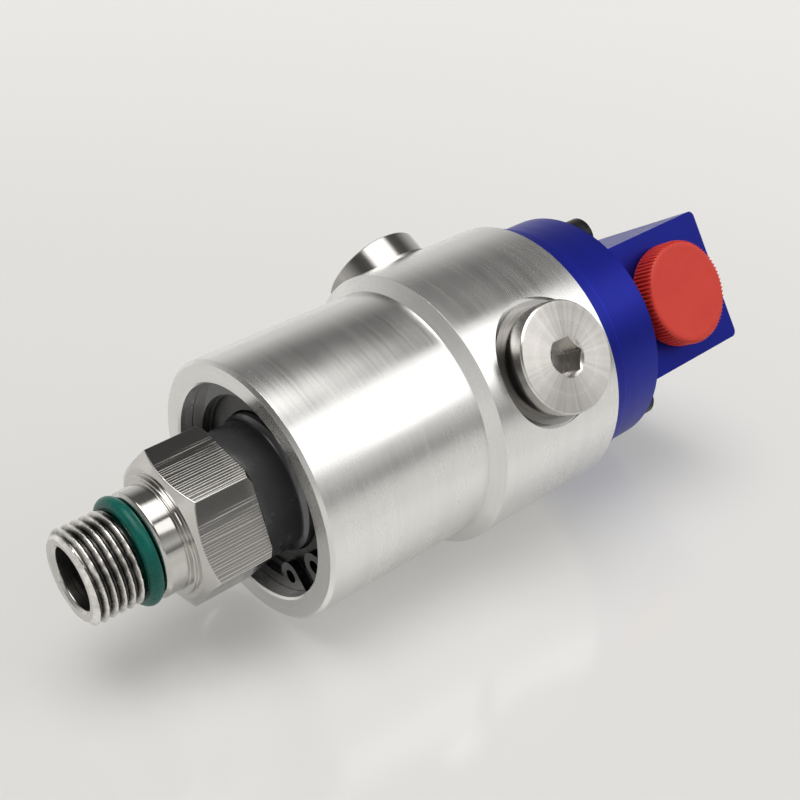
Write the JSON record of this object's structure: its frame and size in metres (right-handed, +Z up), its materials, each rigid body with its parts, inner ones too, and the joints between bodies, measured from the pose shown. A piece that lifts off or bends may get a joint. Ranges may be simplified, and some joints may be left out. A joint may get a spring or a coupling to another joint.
{
  "type": "hydraulic rotary union",
  "caption": "Rotary union: a threaded hollow rotor turns on ball bearings in a turned housing with plugged drain ports, and a face seal joins it to a fixed port block.",
  "frame": {"origin": "on the rotation axis, in the plane of the seat ring where the rotor's pilot ends in front of the hexagon", "axes": "+X along the rotation axis from the threaded nose towards the port block, +Z up, between the two drain ports"},
  "size_m": [0.1342, 0.0602, 0.051],
  "materials": {
    "turned_aluminium": "bright turned aluminium with fine turning marks",
    "washer_aluminium": "plain aluminium sealing washer",
    "blue_anodised": "deep blue anodised aluminium, satin",
    "stainless_steel": "machined stainless steel with milling lines on the flats",
    "plug_steel": "faced steel with circular turning marks",
    "bearing_steel": "ground bearing steel",
    "shield_steel": "dull grey pressed steel",
    "black_spring_steel": "blackened spring steel",
    "spring_wire": "drawn spring wire",
    "black_screw": "black oxide",
    "cage_brass": "machined brass",
    "seal_carbide": "lapped hard seal face",
    "black_collar": "glossy black",
    "green_rubber": "smooth green rubber",
    "black_rubber": "smooth black rubber",
    "red_plastic": "red polyethylene, slightly waxy"
  },
  "bodies": {
    "housing": {"barrel": "turned_aluminium", "front_snap_ring": "black_spring_steel", "dust_shield": "shield_steel", "front_bearing_outer_race": "bearing_steel", "bearing_outer_spacer": "turned_aluminium", "rear_bearing_outer_race": "bearing_steel", "bearing_spring_washer": "black_spring_steel", "seal_spring": "spring_wire", "anti_rotation_pins": "bearing_steel", "carrier_o_ring": "black_rubber", "end_cap": "blue_anodised", "end_cap_o_ring": "black_rubber", "end_cap_screws": "black_screw", "front_drain_plug": "plug_steel", "front_plug_washer": "washer_aluminium", "back_drain_plug": "plug_steel", "back_plug_washer": "washer_aluminium"},
    "rotor": {"rotor": "stainless_steel", "nose_o_ring": "green_rubber", "rotor_collar": "black_collar", "front_bearing_inner_race": "bearing_steel", "bearing_inner_spacer": "stainless_steel", "rear_bearing_inner_race": "bearing_steel", "rotor_snap_ring": "black_spring_steel", "rotating_seal_ring": "seal_carbide"},
    "front_ball_set": {"front_bearing_balls": "bearing_steel", "front_bearing_cage": "cage_brass"},
    "rear_ball_set": {"rear_bearing_balls": "bearing_steel", "rear_bearing_cage": "cage_brass"},
    "floating_seal": {"seal_carrier": "stainless_steel", "stationary_seal_ring": "seal_carbide"},
    "dust_cap": {"dust_cap": "red_plastic"}
  },
  "joints": [
    {"name": "rotor_spin", "type": "hinge", "parent": "housing", "child": "rotor", "pos_m": [0, 0, 0], "axis": [1, 0, 0], "continuous": true},
    {"name": "front_ball_orbit", "type": "hinge", "parent": "housing", "child": "front_ball_set", "pos_m": [0.0278, 0, 0], "axis": [1, 0, 0], "continuous": true},
    {"name": "rear_ball_orbit", "type": "hinge", "parent": "housing", "child": "rear_ball_set", "pos_m": [0.0508, 0, 0], "axis": [1, 0, 0], "continuous": true},
    {"name": "seal_carrier_slide", "type": "slide", "parent": "housing", "child": "floating_seal", "axis": [1, 0, 0], "range_m": [0, 0.0015], "stiffness_N_per_m": 4000, "springref_m": -0.003, "deforming": ["seal_spring"]},
    {"name": "dust_cap_pull", "type": "slide", "parent": "housing", "child": "dust_cap", "axis": [0, -0.8704, 0.4924], "range_m": [0, 0.009]}
  ],
  "couplings": [
    {"joint": "front_ball_orbit", "follows": "rotor_spin", "ratio": 0.4165},
    {"joint": "rear_ball_orbit", "follows": "rotor_spin", "ratio": 0.4165}
  ]
}
